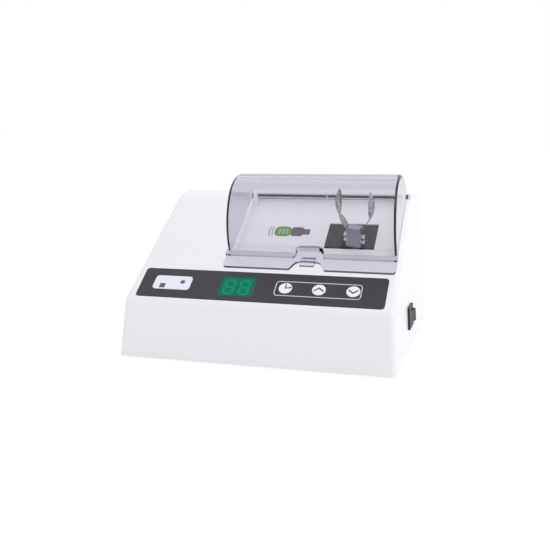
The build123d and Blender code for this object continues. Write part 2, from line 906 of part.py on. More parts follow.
# ---------------------------------------------------------------- control strip and keys
with BuildPart() as control_overlay:
    with BuildSketch(deck(overlay_proud)):
        with Locations((0, overlay_mid_v)):
            RectangleRounded(overlay_width, overlay_height, overlay_corner)
        stop_outline(slip_gap, Mode.SUBTRACT)
        round_outlines(slip_gap, Mode.SUBTRACT)
        window_outline(slip_gap, Mode.SUBTRACT)
    extrude(amount=-overlay_thickness)

with BuildPart() as display_window:
    with BuildSketch(deck(overlay_proud)):
        window_outline(0)
    extrude(amount=-window_thickness)

with BuildPart() as stop_key:
    with BuildSketch(deck(overlay_proud + key_proud)):
        stop_outline(0)
    extrude(amount=rim_bottom - overlay_proud - key_proud)
    with BuildSketch(deck(rim_top)):
        stop_outline(key_rim)
    extrude(amount=-key_rim_thickness)
    with BuildSketch(deck(rim_bottom)):
        with Locations((stop_key_u, overlay_mid_v)):
            Circle(key_stem_radius)
    extrude(amount=stem_end - rim_bottom)


def round_key(u):
    """Push button in the control strip, with a rim below the deck and a stem to its contact."""
    with BuildPart() as key:
        with BuildSketch(deck(overlay_proud + key_proud)):
            with Locations((u, overlay_mid_v)):
                Circle(round_key_radius)
        extrude(amount=rim_bottom - overlay_proud - key_proud)
        with BuildSketch(deck(rim_top)):
            with Locations((u, overlay_mid_v)):
                Circle(round_key_radius + key_rim)
        extrude(amount=-key_rim_thickness)
        with BuildSketch(deck(rim_bottom)):
            with Locations((u, overlay_mid_v)):
                Circle(key_stem_radius)
        extrude(amount=stem_end - rim_bottom)
    return key.part


set_key, up_key, down_key = [round_key(u) for u in key_centres]

with BuildPart() as control_board:
    with BuildSketch(deck(board_top)):
        with Locations((0, overlay_mid_v)):
            Rectangle(2 * (board_boss_u + board_edge), 2 * (board_boss_v + board_edge))
        with Locations(*board_bosses):
            Circle(board_screw_radius + slip_gap, mode=Mode.SUBTRACT)
    extrude(amount=-board_thickness)

with BuildPart() as board_screws:
    with BuildSketch(deck(-board_depth)):
        with Locations(*board_bosses):
            Circle(board_screw_head)
    extrude(amount=-board_screw_head_height)
    with BuildSketch(deck(-board_depth)):
        with Locations(*board_bosses):
            Circle(board_screw_radius)
    extrude(amount=board_depth - housing_wall - seat_gap)

with BuildPart() as led_display:
    with BuildSketch(deck(board_top)):
        with Locations((window_u, overlay_mid_v)):
            Rectangle(window_width - 2 * led_margin, window_height - 2 * led_margin)
    extrude(amount=-housing_wall - seat_gap - board_top)

with BuildPart() as tact_switches:
    contacts = [(u, overlay_mid_v) for u in (stop_key_u, *key_centres)]
    with BuildSketch(deck(board_top)):
        with Locations(*contacts):
            Rectangle(tact_size, tact_size)
    extrude(amount=tact_height)
    with BuildSketch(deck(board_top + tact_height)):
        with Locations(*contacts):
            Circle(tact_button_radius)
    extrude(amount=tact_button_height)

# ---------------------------------------------------------------- power switch
wall_up = side_wall.y_dir
rest_angle = radians(rocker_swing / 2)
rocker_plane = Plane(
    origin=side_wall.origin,
    x_dir=side_wall.x_dir * cos(rest_angle) + side_wall.z_dir * sin(rest_angle),
    z_dir=-wall_up,
)
corner_x = rocker_radius * cos(radians(rocker_bevel))
corner_z = rocker_radius * sin(radians(rocker_bevel))
foot_x = sqrt(rocker_radius**2 - rocker_depth**2)

with BuildPart() as switch_body:
    with BuildSketch(side_wall):
        RectangleRounded(bezel_length, bezel_height, bezel_corner)
    extrude(amount=bezel_proud)
    with BuildSketch(side_wall):
        RectangleRounded(bezel_length - 2 * bezel_lip, bezel_height - 2 * bezel_lip, bezel_corner / 2)
    extrude(amount=-switch_body_depth)
    with BuildSketch(side_wall.offset(bezel_proud)):
        Rectangle(2 * (rocker_radius + running_gap), rocker_height + 2 * slip_gap)
    extrude(amount=-bezel_proud - rocker_pocket, mode=Mode.SUBTRACT)
    with BuildSketch(rocker_plane):
        Circle(rocker_axle_radius + running_gap)
    extrude(amount=rocker_height / 2 + rocker_axle_reach + slip_gap, both=True, mode=Mode.SUBTRACT)
    with BuildSketch(side_wall.offset(-switch_body_depth)):
        with GridLocations(2 * terminal_pitch, terminal_pitch, 2, 2):
            Rectangle(terminal_thickness, terminal_width)
    extrude(amount=-terminal_length)

with BuildPart() as switch_rocker:
    with BuildSketch(rocker_plane):
        with BuildLine():
            ThreePointArc((corner_x, corner_z), (rocker_radius, 0), (foot_x, -rocker_depth))
            Line((foot_x, -rocker_depth), (-foot_x, -rocker_depth))
            ThreePointArc((-foot_x, -rocker_depth), (-rocker_radius, 0), (-corner_x, corner_z))
            Polyline((-corner_x, corner_z), (0, rocker_crown), (corner_x, corner_z))
        make_face()
    extrude(amount=rocker_height / 2, both=True)
    with BuildSketch(rocker_plane):
        Circle(rocker_axle_radius)
    extrude(amount=rocker_height / 2 + rocker_axle_reach, both=True)

# ---------------------------------------------------------------- mains inlet
inlet_floor = inlet_wall - inlet_depth
pin_places = [(-inlet_pin_pitch, 0), (0, inlet_earth_offset), (inlet_pin_pitch, 0)]

with BuildPart() as mains_inlet:
    with BuildSketch(rear_wall):
        RectangleRounded(inlet_flange_width, inlet_flange_height, inlet_corner)
        with GridLocations(inlet_screw_pitch, 0, 2, 1):
            Circle(inlet_screw_radius + slip_gap, mode=Mode.SUBTRACT)
    extrude(amount=inlet_flange_thickness)
    with BuildSketch(rear_wall):
        Rectangle(inlet_body_width, inlet_body_height)
    extrude(amount=-inlet_depth)
    with BuildSketch(rear_wall.offset(inlet_flange_thickness)):
        Rectangle(inlet_body_width - 2 * inlet_wall, inlet_body_height - 2 * inlet_wall)
    extrude(amount=inlet_floor - inlet_flange_thickness, mode=Mode.SUBTRACT)
    with BuildSketch(rear_wall.offset(inlet_floor)):
        with Locations(*pin_places):
            Rectangle(inlet_pin_thickness + 2 * pin_gap, inlet_pin_width + 2 * pin_gap)
    extrude(amount=-2 * inlet_wall, mode=Mode.SUBTRACT)

with BuildPart() as inlet_pins:
    with BuildSketch(rear_wall.offset(-inlet_depth - inlet_pin_width)):
        with Locations(*pin_places):
            Rectangle(inlet_pin_thickness, inlet_pin_width)
    extrude(amount=inlet_pin_width + inlet_wall + inlet_pin_length)

with BuildPart() as inlet_screws:
    with BuildSketch(rear_wall.offset(inlet_flange_thickness)):
        with GridLocations(inlet_screw_pitch, 0, 2, 1):
            Circle(inlet_screw_head)
    extrude(amount=inlet_screw_head_height)
    with BuildSketch(rear_wall.offset(inlet_flange_thickness)):
        with GridLocations(inlet_screw_pitch, 0, 2, 1):
            Circle(inlet_screw_radius)
    extrude(amount=-inlet_flange_thickness - 2 * housing_wall)

# ---------------------------------------------------------------- power board
board_level = power_board_rise + power_board_thickness

with BuildPart() as power_board:
    with BuildSketch(level(power_board_rise)):
        with Locations((power_board_x, power_board_y)):
            Rectangle(power_board_length, power_board_width)
    extrude(amount=power_board_thickness)

with BuildPart() as transformer:
    with Locations(level(board_level)):
        with Locations((power_board_x + transformer_x, power_board_y)):
            low = (Align.CENTER, Align.CENTER, Align.MIN)
            Box(core_length, transformer_width, transformer_height, align=low)
            Box(transformer_length, coil_width, coil_height, align=low)

with BuildPart() as motor_relay:
    with BuildSketch(level(board_level)):
        with Locations((power_board_x + relay_x, power_board_y)):
            Rectangle(relay_width, relay_length)
    extrude(amount=relay_height)

with BuildPart() as fuse:
    fuse_plane = Plane(
        origin=(
            mid_x + power_board_x + fuse_x,
            front_y + power_board_y,
            foot_gap + board_level + fuse_clip,
        ),
        x_dir=(1, 0, 0),
        z_dir=(0, -1, 0),
    )
    with BuildSketch(fuse_plane):
        Circle(fuse_radius)
    extrude(amount=fuse_length / 2, both=True)
    with BuildSketch(level(board_level)):
        with Locations((power_board_x + fuse_x, power_board_y)):
            with GridLocations(0, fuse_length - fuse_clip, 1, 2):
                Rectangle(2 * (fuse_radius + fuse_clip_wall), fuse_clip)
    extrude(amount=fuse_clip)

# ---------------------------------------------------------------- motor and its bracket
def around(count, radius):
    """Places spaced evenly about the shaft, off the vertical by half a step."""
    return PolarLocations(radius, count, start_angle=180 / count)


motor_front = -motor_gap
motor_rear = motor_front - motor_length
hub_face = bearing_width / 2 + hub_radius * sin(tip) + seat_gap

with BuildPart() as motor_case:
    with BuildSketch(shaft_plane(motor_rear)):
        Circle(motor_radius - motor_bell_step)
    extrude(amount=motor_length)
    with BuildSketch(shaft_plane(motor_rear + motor_bell)):
        Circle(motor_radius)
    extrude(amount=motor_length - 2 * motor_bell)
    with BuildSketch(shaft_plane(motor_front)):
        Circle(motor_nose_radius)
    extrude(amount=motor_nose)
    with BuildSketch(shaft_plane(motor_rear)):
        Circle(shaft_radius + running_gap)
    extrude(amount=motor_length + motor_nose, mode=Mode.SUBTRACT)
    with BuildSketch(shaft_plane(motor_front)):
        with around(4, motor_screw_circle):
            Circle(motor_screw_radius + pin_gap)
    extrude(amount=-motor_screw_length, mode=Mode.SUBTRACT)

with BuildPart() as motor_bracket:
    foot_length = bracket_tail + bracket_reach
    with BuildSketch(level(bracket_z)):
        with Locations((pivot_x + bracket_reach - foot_length / 2, pivot_y)):
            Rectangle(foot_length, bracket_width)
    extrude(amount=bracket_thickness)
    with BuildSketch(shaft_plane(motor_front)):
        with Locations((0, (bracket_top + bracket_z - pivot_z) / 2)):
            Rectangle(bracket_width, bracket_top - bracket_z + pivot_z)
    extrude(amount=bracket_thickness)
    corner = motor_bracket.edges().filter_by(Axis.Y).filter_by_position(
        Axis.Z, foot_gap + bracket_floor - pin_gap, foot_gap + bracket_floor + pin_gap
    )
    fillet(corner.sort_by(Axis.X)[1:3], radius=bracket_fold_radius)
    with BuildSketch(shaft_plane(motor_front)):
        Circle(motor_nose_radius + slip_gap)
        with around(4, motor_screw_circle):
            Circle(motor_screw_radius + slip_gap)
    extrude(amount=bracket_thickness, mode=Mode.SUBTRACT)

with BuildPart() as motor_screws:
    with BuildSketch(shaft_plane(motor_front + bracket_thickness)):
        with around(4, motor_screw_circle):
            Circle(motor_screw_head)
    extrude(amount=motor_screw_head_height)
    with BuildSketch(shaft_plane(motor_front + bracket_thickness)):
        with around(4, motor_screw_circle):
            Circle(motor_screw_radius)
    extrude(amount=-bracket_thickness - motor_screw_length + seat_gap)

with BuildPart() as bracket_dampers:
    with BuildSketch(level(base_thickness)):
        with Locations((pivot_x + bracket_reach - foot_length / 2, pivot_y)):
            with GridLocations(foot_length - 2 * damper_inset, bracket_width - 2 * damper_inset, 2, 2):
                Circle(damper_radius)
    extrude(amount=damper_height)

# ---------------------------------------------------------------- rotor
with BuildPart() as motor_shaft:
    shaft_end = motor_rear - fan_gap - fan_width - shaft_tail
    with BuildSketch(shaft_plane(shaft_end)):
        Circle(shaft_radius)
    extrude(amount=hub_face - slip_gap - shaft_end)
    with BuildSketch(shaft_plane(hub_face - slip_gap)):
        Circle(hub_screw_radius + pin_gap)
    extrude(amount=-hub_screw_length, mode=Mode.SUBTRACT)

with BuildPart() as wobble_hub:
    with BuildSketch(ring_plane):
        Circle(bearing_bore)
    extrude(amount=bearing_radius, both=True)
    for side in (-1, 1):
        with BuildSketch(shaft_plane(side * hub_face)):
            Circle(ring_radius)
        extrude(amount=side * ring_radius, mode=Mode.SUBTRACT)
    with BuildSketch(shaft_plane(-hub_face)):
        Circle(hub_radius)
    extrude(amount=-hub_collar)
    with BuildSketch(shaft_plane(hub_face)):
        Circle(shaft_radius + pin_gap)
    extrude(amount=-2 * ring_radius, mode=Mode.SUBTRACT)

with BuildPart() as hub_bearing:
    with BuildSketch(ring_plane):
        Circle(bearing_radius)
        Circle(bearing_bore + pin_gap, mode=Mode.SUBTRACT)
    extrude(amount=bearing_width / 2, both=True)

with BuildPart() as hub_screw:
    with BuildSketch(shaft_plane(hub_face)):
        Circle(hub_radius)
    extrude(amount=hub_washer)
    with BuildSketch(shaft_plane(hub_face + hub_washer)):
        Circle(hub_screw_head)
    extrude(amount=hub_screw_head_height)
    with BuildSketch(shaft_plane(hub_face)):
        Circle(hub_screw_radius)
    extrude(amount=-hub_screw_length + slip_gap)

with BuildPart() as motor_fan:
    with BuildSketch(shaft_plane(motor_rear - fan_gap - fan_width)):
        Circle(fan_hub_radius)
        with PolarLocations((fan_hub_radius + fan_radius) / 2 - fan_blade, fan_blades):
            Rectangle(fan_radius - fan_hub_radius + 2 * fan_blade, fan_blade)
        Circle(shaft_radius + pin_gap, mode=Mode.SUBTRACT)
    extrude(amount=fan_width)

# ---------------------------------------------------------------- oscillating arm
neck_start = ring_bore + (ring_radius - ring_bore) / 2

with BuildPart() as oscillating_arm:
    with BuildSketch(ring_plane):
        Circle(ring_radius)
    extrude(amount=ring_width / 2, both=True)
    with BuildSketch(Plane(origin=pivot + arm_up * neck_start, x_dir=arm_across, z_dir=arm_up)):
        Circle(stem_radius)
    extrude(amount=pivot_drop + head_lift + spigot_length - neck_start)
    with BuildSketch(Plane(origin=pivot - arm_up * neck_start, x_dir=arm_across, z_dir=-arm_up)):
        Circle(tail_radius)
    extrude(amount=tail_length - neck_start)
    with BuildSketch(ring_plane):
        Circle(ring_bore)
    extrude(amount=ring_width, both=True, mode=Mode.SUBTRACT)

with BuildPart() as arm_guide:
    slot_mid_z = guide_top - guide_slot_depth / 2
    guide_y = pivot_y + (pivot_z - slot_mid_z) * tan(lean)
    with BuildSketch(level(bracket_floor)):
        with Locations((pivot_x, guide_y)):
            Rectangle(guide_length, guide_width)
    extrude(amount=guide_top - bracket_floor)
    slot_low = (pivot_z - guide_top + guide_slot_depth) / cos(lean)
    with BuildSketch(guide_plane):
        with Locations((0, -slot_low / 2)):
            Rectangle(guide_slot, slot_low)
    extrude(amount=tail_radius + running_gap, both=True, mode=Mode.SUBTRACT)

head_plane = Plane(origin=arm_exit + arm_up * head_lift, x_dir=fork_across, z_dir=arm_up)
screw_rises = [head_lift + jaw_screw_low, head_lift + jaw_screw_low + jaw_screw_pitch]


def beside_head(offset, side):
    """Plane on one side of the arm's head, offset out from its middle; y runs up the arm."""
    return Plane(
        origin=arm_exit + fork_across * (side * offset), x_dir=fork_toward * side, z_dir=fork_across * -side
    )


with BuildPart() as arm_head:
    with BuildSketch(head_plane):
        Rectangle(head_width, head_depth)
    extrude(amount=head_height)
    with BuildSketch(head_plane):
        Circle(stem_radius + pin_gap)
    extrude(amount=spigot_length, mode=Mode.SUBTRACT)
    for side in (-1, 1):
        with BuildSketch(beside_head(head_width / 2, side)):
            with Locations(*[(0, rise) for rise in screw_rises]):
                Circle(jaw_screw_radius + pin_gap)
        extrude(amount=jaw_screw_bite, mode=Mode.SUBTRACT)

# ---------------------------------------------------------------- capsule jaws
flare_run = jaw_half_gap - head_width / 2
flare_rise = waist_rise - strip_root
flare_length = sqrt(flare_run**2 + flare_rise**2)
flare_up = fork_across * (flare_run / flare_length) + arm_up * (flare_rise / flare_length)
flare_out = fork_across * (flare_rise / flare_length) - arm_up * (flare_run / flare_length)
strip_side = Plane(
    origin=arm_exit + fork_across * (head_width / 2), x_dir=-fork_toward, z_dir=fork_across
)
flare_side = Plane(origin=strip_side.origin + arm_up * strip_root, x_dir=-fork_toward, z_dir=flare_out)
cup_plane = Plane(
    origin=arm_exit + fork_across * jaw_half_gap + arm_up * (waist_rise - jaw_tip),
    x_dir=fork_toward,
    z_dir=-fork_across,
)
cup_length = jaw_height + jaw_tip

with BuildPart() as right_jaw:
    with BuildSketch(strip_side):
        with Locations((0, (strip_root + head_lift + strip_thickness) / 2)):
            Rectangle(strip_width, strip_root - head_lift - strip_thickness)
        with Locations(*[(0, rise) for rise in screw_rises]):
            Circle(jaw_screw_radius + slip_gap, mode=Mode.SUBTRACT)
    extrude(amount=strip_thickness)
    with BuildSketch(flare_side):
        with BuildLine():
            Polyline(
                (-strip_width / 2, 0),
                (strip_width / 2, 0),
                (strip_width / 2, flare_length - strip_taper),
                (strip_neck / 2, flare_length),
                (-strip_neck / 2, flare_length),
                (-strip_width / 2, flare_length - strip_taper),
                close=True,
            )
        make_face()
    extrude(amount=strip_thickness)
    with BuildSketch(cup_plane):
        with BuildLine():
            SagittaArc((0, 0), (0, cup_length), -jaw_bulge)
            Line((0, cup_length), (0, cup_length - jaw_tip))
            SagittaArc((0, cup_length - jaw_tip), (0, jaw_tip), jaw_bulge - jaw_thickness)
            Line((0, jaw_tip), (0, 0))
        make_face()
    revolve(axis=Axis(cup_plane.origin, arm_up), revolution_arc=180)

with BuildPart() as left_jaw:
    mirror(right_jaw.part, about=Plane(origin=arm_exit, x_dir=fork_toward, z_dir=fork_across))

with BuildPart() as jaw_screws:
    for side in (-1, 1):
        with BuildSketch(beside_head(head_width / 2 + strip_thickness, side)):
            with Locations(*[(0, rise) for rise in screw_rises]):
                Circle(jaw_screw_head)
        extrude(amount=-jaw_screw_head_height)
        with BuildSketch(beside_head(head_width / 2 + strip_thickness, side)):
            with Locations(*[(0, rise) for rise in screw_rises]):
                Circle(jaw_screw_radius)
        extrude(amount=strip_thickness + jaw_screw_bite - pin_gap)

# ---------------------------------------------------------------- export
pieces = {
    "upper_housing": upper_housing.part,
    "base_plate": base_plate.part,
    "rubber_feet": rubber_feet.part,
    "base_screws": base_screws.part,
    "seal_plate": seal_plate.part,
    "lid_hood": lid_hood.part,
    "hinge_pins": hinge_pins.part,
    "interlock_switch": interlock_switch.part,
    "interlock_plunger": interlock_plunger.part,
    "control_overlay": control_overlay.part,
    "display_window": display_window.part,
    "stop_key": stop_key.part,
    "set_key": set_key,
    "up_key": up_key,
    "down_key": down_key,
    "control_board": control_board.part,
    "board_screws": board_screws.part,
    "led_display": led_display.part,
    "tact_switches": tact_switches.part,
    "switch_body": switch_body.part,
    "switch_rocker": switch_rocker.part,
    "mains_inlet": mains_inlet.part,
    "inlet_pins": inlet_pins.part,
    "inlet_screws": inlet_screws.part,
    "power_board": power_board.part,
    "transformer": transformer.part,
    "motor_relay": motor_relay.part,
    "fuse": fuse.part,
    "motor_case": motor_case.part,
    "motor_bracket": motor_bracket.part,
    "motor_screws": motor_screws.part,
    "bracket_dampers": bracket_dampers.part,
    "motor_shaft": motor_shaft.part,
    "wobble_hub": wobble_hub.part,
    "hub_bearing": hub_bearing.part,
    "hub_screw": hub_screw.part,
    "motor_fan": motor_fan.part,
    "oscillating_arm": oscillating_arm.part,
    "arm_guide": arm_guide.part,
    "arm_head": arm_head.part,
    "left_jaw": left_jaw.part,
    "right_jaw": right_jaw.part,
    "jaw_screws": jaw_screws.part,
}
os.makedirs("parts", exist_ok=True)
for name, piece in pieces.items():
    piece.label = name
    export_step(piece, f"parts/{name}.step")
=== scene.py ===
"""Looks of the dental amalgamator: materials, pierced jaws, printed marks, light and camera."""

import math

import bmesh
import bpy
from mathutils import Matrix, Vector


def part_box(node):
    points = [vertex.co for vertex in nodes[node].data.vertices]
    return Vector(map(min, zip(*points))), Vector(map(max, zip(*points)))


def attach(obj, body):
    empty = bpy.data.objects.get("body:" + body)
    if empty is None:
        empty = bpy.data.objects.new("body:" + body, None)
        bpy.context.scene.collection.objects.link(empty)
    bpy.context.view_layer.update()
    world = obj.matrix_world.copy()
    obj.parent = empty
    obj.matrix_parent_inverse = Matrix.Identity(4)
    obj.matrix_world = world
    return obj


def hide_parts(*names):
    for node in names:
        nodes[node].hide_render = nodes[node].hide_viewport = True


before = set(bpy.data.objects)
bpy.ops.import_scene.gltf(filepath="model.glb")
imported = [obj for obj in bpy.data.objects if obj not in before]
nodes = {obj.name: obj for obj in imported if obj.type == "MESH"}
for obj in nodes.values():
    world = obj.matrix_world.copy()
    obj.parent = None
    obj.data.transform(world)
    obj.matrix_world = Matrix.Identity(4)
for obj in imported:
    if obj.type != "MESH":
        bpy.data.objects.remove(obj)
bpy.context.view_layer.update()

# ---------------------------------------------------------------- the CAD's frame, in metres
MID_X = -0.001586
FRONT_Y = -0.131391
FOOT_GAP = 0.0018
FRONT_HEIGHT = 0.0554
FRONT_LEAN = math.radians(9)
DECK_ANGLE = math.radians(36.5)
CHAMBER_DEPTH = 0.0075
STRIP_TOP = 0.0002
STRIP_V = 0.024
KEY_TOP = 0.0009
ORIGIN = Vector((MID_X, FRONT_Y, FOOT_GAP))
DECK_FOOT = Vector((0, FRONT_HEIGHT * math.tan(FRONT_LEAN), FRONT_HEIGHT))


def spot(x, y, z):
    """A point counted from the housing's middle, front edge and underside."""
    return ORIGIN + Vector((x, y, z))


def on_deck(height):
    """Matrix of the plane at a height over the deck: x to the right, y up the slope, z off the deck."""
    x = Vector((1, 0, 0))
    y = Vector((0, math.cos(DECK_ANGLE), math.sin(DECK_ANGLE)))
    z = Vector((0, -math.sin(DECK_ANGLE), math.cos(DECK_ANGLE)))
    plane = Matrix((x, y, z)).transposed().to_4x4()
    plane.translation = ORIGIN + DECK_FOOT + z * height
    return plane


def middle(node):
    """Distance to the right of the housing's middle at which a node's box is centred."""
    low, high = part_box(node)
    return (low[0] + high[0]) / 2 - MID_X


# ---------------------------------------------------------------- materials
RELIEF_STRENGTH = 0.5
FINE_SHARE = 14
BRUSH_SCALE = 260.0
BRUSH_RELIEF = 0.00002
BRUSH_STRENGTH = 0.6


def relief_on(tree, shader, where, scale, depth, strength, detail):
    """Fine noise relief on a shader's normal; depth is in metres."""
    noise = tree.nodes.new("ShaderNodeTexNoise")
    noise.inputs["Scale"].default_value = scale
    noise.inputs["Detail"].default_value = detail
    relief = tree.nodes.new("ShaderNodeBump")
    relief.inputs["Distance"].default_value = depth
    relief.inputs["Strength"].default_value = strength
    tree.links.new(where, noise.inputs["Vector"])
    tree.links.new(noise.outputs["Fac"], relief.inputs["Height"])
    tree.links.new(relief.outputs["Normal"], shader.inputs["Normal"])


def material(name, colour, rough=0.4, metal=0.0, shade=0.93, grain=60.0, spread=0.06, bump=0.0, **extra):
    """Principled material whose colour and roughness vary softly; bump is the relief's depth in metres."""
    mat = bpy.data.materials.new(name)
    mat.use_nodes = True
    tree = mat.node_tree
    shader = tree.nodes["Principled BSDF"]
    shader.inputs["Metallic"].default_value = metal
    where = tree.nodes.new("ShaderNodeTexCoord")
    noise = tree.nodes.new("ShaderNodeTexNoise")
    noise.inputs["Scale"].default_value = grain
    noise.inputs["Detail"].default_value = 4.0
    tree.links.new(where.outputs["Object"], noise.inputs["Vector"])
    ramp = tree.nodes.new("ShaderNodeValToRGB")
    ramp.color_ramp.elements[0].position = 0.3
    ramp.color_ramp.elements[1].position = 0.7
    ramp.color_ramp.elements[0].color = (*[c * shade for c in colour], 1)
    ramp.color_ramp.elements[1].color = (*colour, 1)
    tree.links.new(noise.outputs["Fac"], ramp.inputs["Fac"])
    tree.links.new(ramp.outputs["Color"], shader.inputs["Base Color"])
    if spread:
        span = tree.nodes.new("ShaderNodeMapRange")
        span.inputs["To Min"].default_value = max(rough - spread, 0.0)
        span.inputs["To Max"].default_value = min(rough + spread, 1.0)
        tree.links.new(noise.outputs["Fac"], span.inputs["Value"])
        tree.links.new(span.outputs["Result"], shader.inputs["Roughness"])
    else:
        shader.inputs["Roughness"].default_value = rough
    if bump:
        relief_on(tree, shader, where.outputs["Object"], grain * FINE_SHARE, bump, RELIEF_STRENGTH, 3.0)
    for socket, value in extra.items():
        shader.inputs[socket.replace("_", " ")].default_value = value
    return mat


def brushed(name, colour, rough, across=(1, 1, 30), shade=0.86, grain=40.0):
    """Metal with fine drawn lines; across says how much closer they lie along each axis."""
    mat = material(name, colour, rough, 1.0, shade=shade, grain=grain, spread=0.08)
    tree = mat.node_tree
    stretch = tree.nodes.new("ShaderNodeMapping")
    stretch.inputs["Scale"].default_value = across
    tree.links.new(tree.nodes["Texture Coordinate"].outputs["Object"], stretch.inputs["Vector"])
    relief_on(tree, tree.nodes["Principled BSDF"], stretch.outputs["Vector"], BRUSH_SCALE, BRUSH_RELIEF,
              BRUSH_STRENGTH, 2.0)
    return mat


white = material("white_abs", (0.850, 0.830, 0.872), 0.32, shade=0.985, grain=9.0, spread=0.05, bump=0.00001,
                 Specular_IOR_Level=0.45, Coat_Weight=0.22, Coat_Roughness=0.15)
grey_base = material("grey_base", (0.60, 0.60, 0.61), 0.55, shade=0.95, bump=0.00003)
rubber = material("rubber", (0.018, 0.018, 0.019), 0.75, shade=0.8, grain=120.0, bump=0.00004)
seal = material("seal_rubber", (0.010, 0.009, 0.012), 0.55, shade=0.7, grain=90.0, bump=0.00003)
smoke = material("smoky_acrylic", (0.97, 0.965, 0.975), 0.02, shade=0.99, grain=5.0, spread=0.0,
                 Transmission_Weight=1.0, IOR=1.45)
tint = smoke.node_tree.nodes.new("ShaderNodeVolumeAbsorption")
tint.inputs["Color"].default_value = (0.51, 0.49, 0.61, 1)
tint.inputs["Density"].default_value = 160.0
smoke.node_tree.links.new(tint.outputs[0], smoke.node_tree.nodes["Material Output"].inputs["Volume"])
film = material("strip_film", (0.030, 0.0265, 0.036), 0.40, shade=0.9, grain=25.0, bump=0.00001)
filter_green = material("display_filter", (0.001, 0.115, 0.075), 0.22, shade=0.85, grain=20.0,
                        Specular_IOR_Level=0.08, Emission_Strength=0.10, Emission_Color=(0.0, 0.75, 0.50, 1))
pale_key = material("pale_key", (0.79, 0.81, 0.92), 0.42, shade=0.97, grain=40.0, bump=0.00001)
white_key = material("white_key", (0.86, 0.86, 0.88), 0.40, shade=0.98, grain=40.0, bump=0.00001)
board = material("solder_mask", (0.012, 0.11, 0.04), 0.35, shade=0.8)
black = material("black_nylon", (0.022, 0.022, 0.024), 0.45, shade=0.8, bump=0.00003, Specular_IOR_Level=0.22)
rocker_black = material("rocker_black", (0.020, 0.019, 0.023), 0.36, shade=0.8, bump=0.00001,
                        Specular_IOR_Level=0.22)
brass = material("plated_contacts", (0.76, 0.62, 0.36), 0.25, 1.0)
core = material("laminated_core", (0.16, 0.16, 0.17), 0.5, 1.0, bump=0.00004)
glass = material("fuse_glass", (0.9, 0.9, 0.9), 0.05, spread=0.0, Transmission_Weight=0.8)
paint = material("motor_paint", (0.04, 0.04, 0.045), 0.4, shade=0.8, bump=0.00003)
zinc = brushed("zinc_sheet", (0.62, 0.62, 0.60), 0.38)
steel = brushed("turned_steel", (0.60, 0.60, 0.61), 0.28, (30, 1, 1))
dark_steel = brushed("browned_steel", (0.10, 0.10, 0.11), 0.36, (30, 1, 1))
screw = brushed("screw_steel", (0.68, 0.68, 0.69), 0.22, (1, 1, 1))
bright = brushed("bright_spring_steel", (0.60, 0.575, 0.575), 0.20, (1, 1, 6), shade=0.42, grain=420.0)
alloy = brushed("milled_alloy", (0.35, 0.35, 0.40), 0.42, (12, 1, 1))
nylon = material("white_nylon", (0.80, 0.79, 0.74), 0.5, shade=0.94, bump=0.00002)
ink_white = material("white_ink", (0.82, 0.82, 0.84), 0.5, shade=0.96, grain=80.0)
ink_dark = material("dark_ink", (0.05, 0.05, 0.06), 0.5, shade=0.9, grain=80.0)
ink_green = material("green_ink", (0.12, 0.31, 0.065), 0.5, shade=0.85, grain=80.0)
ink_grey = material("grey_ink", (0.10, 0.10, 0.12), 0.5, shade=0.85, grain=80.0)
ink_pale = material("pale_ink", (0.36, 0.36, 0.40), 0.5, shade=0.9, grain=80.0)
ink_rim = material("rim_ink", (0.001, 0.055, 0.032), 0.4, shade=0.9, grain=80.0)
ink_bed = material("bed_ink", (0.50, 0.55, 0.46), 0.5, shade=0.9, grain=80.0)
segment = material("lit_segment", (0.004, 0.16, 0.09), 0.5, shade=0.9, Specular_IOR_Level=0.1,
                   Emission_Strength=0.14, Emission_Color=(0.03, 0.80, 0.48, 1))

finishes = {
    "upper_housing": white, "base_plate": grey_base, "rubber_feet": rubber, "base_screws": screw,
    "seal_plate": seal, "lid_hood": smoke, "hinge_pins": dark_steel, "interlock_switch": black,
    "interlock_plunger": nylon, "control_overlay": film, "display_window": filter_green,
    "stop_key": pale_key, "set_key": white_key, "up_key": white_key, "down_key": white_key,
    "control_board": board, "board_screws": screw, "led_display": black, "tact_switches": black,
    "switch_body": black, "switch_rocker": rocker_black, "mains_inlet": black, "inlet_pins": brass,
    "inlet_screws": screw, "power_board": board, "transformer": core, "motor_relay": black,
    "fuse": glass, "motor_case": paint, "motor_bracket": zinc, "motor_screws": screw,
    "bracket_dampers": rubber, "motor_shaft": steel, "wobble_hub": steel, "hub_bearing": steel,
    "hub_screw": screw, "motor_fan": nylon, "oscillating_arm": alloy, "arm_guide": nylon,
    "arm_head": alloy, "left_jaw": bright, "right_jaw": bright, "jaw_screws": screw,
}
for name, finish in finishes.items():
    shown = nodes[name]
    shown.data.materials.clear()
    shown.data.materials.append(finish)
# light passes the clear hood as it does in a brightly lit room
nodes["lid_hood"].visible_shadow = False
nodes["lid_hood"].visible_diffuse = False


# ---------------------------------------------------------------- pierced capsule jaws
FORK_UP = Vector((0.052336, -0.341551, 0.938405))
FORK_ACROSS = Vector((0.982847, -0.148788, -0.108969))
FORK_TOWARD = Vector((-0.176842, -0.928011, -0.327906))
ARM_EXIT = Vector((0.079414, -0.0409853, 0.108274))
CUP_START = 0.0296
CUP_OVERLAP = 0.002
CUP_FOOT = ARM_EXIT + FORK_UP * (CUP_START - CUP_OVERLAP)
CUP_HALF_GAP = 0.0152
CUP_LENGTH = 0.030
HOLE_RADIUS = 0.00115
HOLE_LENGTH = 0.008
HOLE_REACH = 0.0045
HOLE_SIDES = 20
PAIR_TURNS = (-46, 46)
HOLE_ROWS = ((0.24, (0,)), (0.38, PAIR_TURNS), (0.52, (0,)), (0.66, PAIR_TURNS), (0.79, (0,)))


